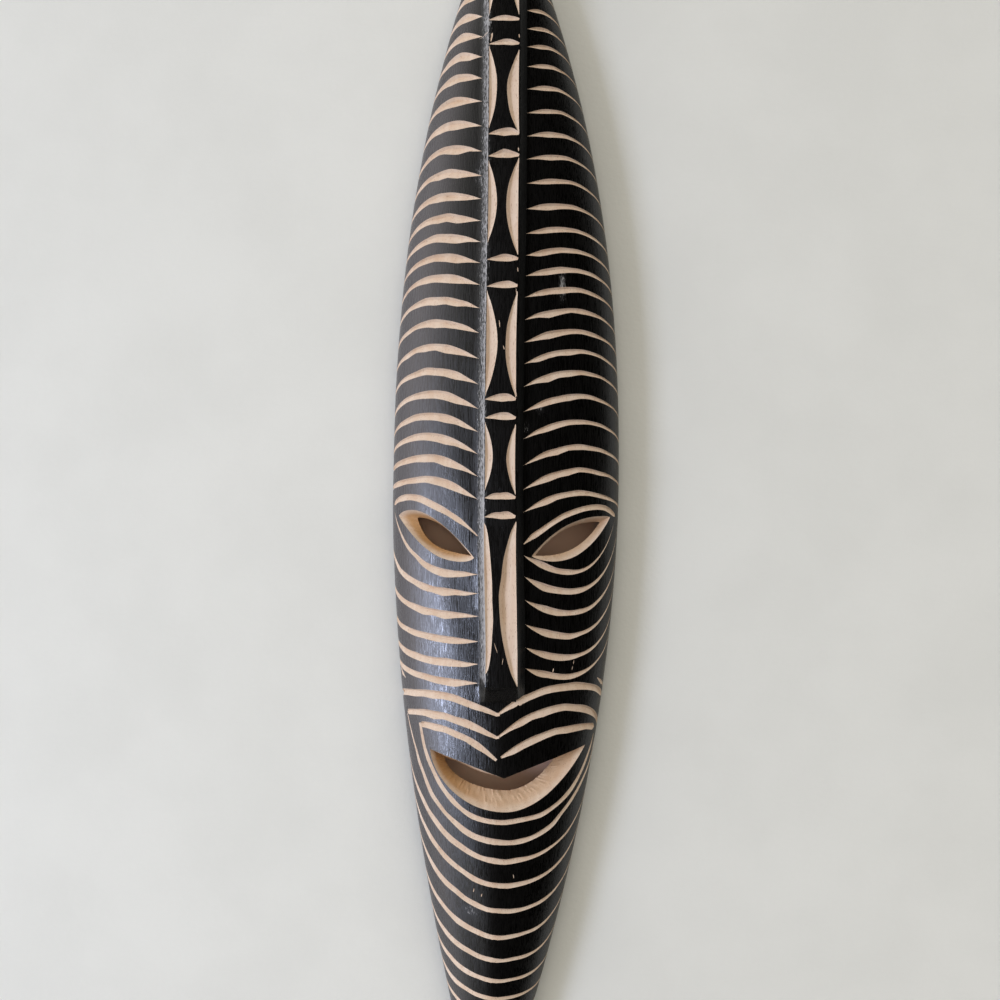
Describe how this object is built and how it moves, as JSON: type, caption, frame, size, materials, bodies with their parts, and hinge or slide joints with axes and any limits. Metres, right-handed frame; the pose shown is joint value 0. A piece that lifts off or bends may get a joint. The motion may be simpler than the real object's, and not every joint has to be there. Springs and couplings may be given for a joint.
{
  "type": "wall mask",
  "caption": "Long leaf-shaped carved wooden wall mask with a raised crest and nose, slanted eye holes, a smiling mouth hole and rows of pale gouge cuts through black paint.",
  "frame": {"origin": "middle of the footprint, on the flat plane of the back rim that the mask lies on", "axes": "+X across the face to the viewer's right, +Y towards the crown, +Z out of the face"},
  "size_m": [0.182, 1, 0.0656],
  "materials": {
    "blackened_wood": "satin black paint over light wood, cut through to the pale bare wood along every carved stroke"
  },
  "bodies": {
    "root": {"mask": "blackened_wood"}
  },
  "joints": []
}
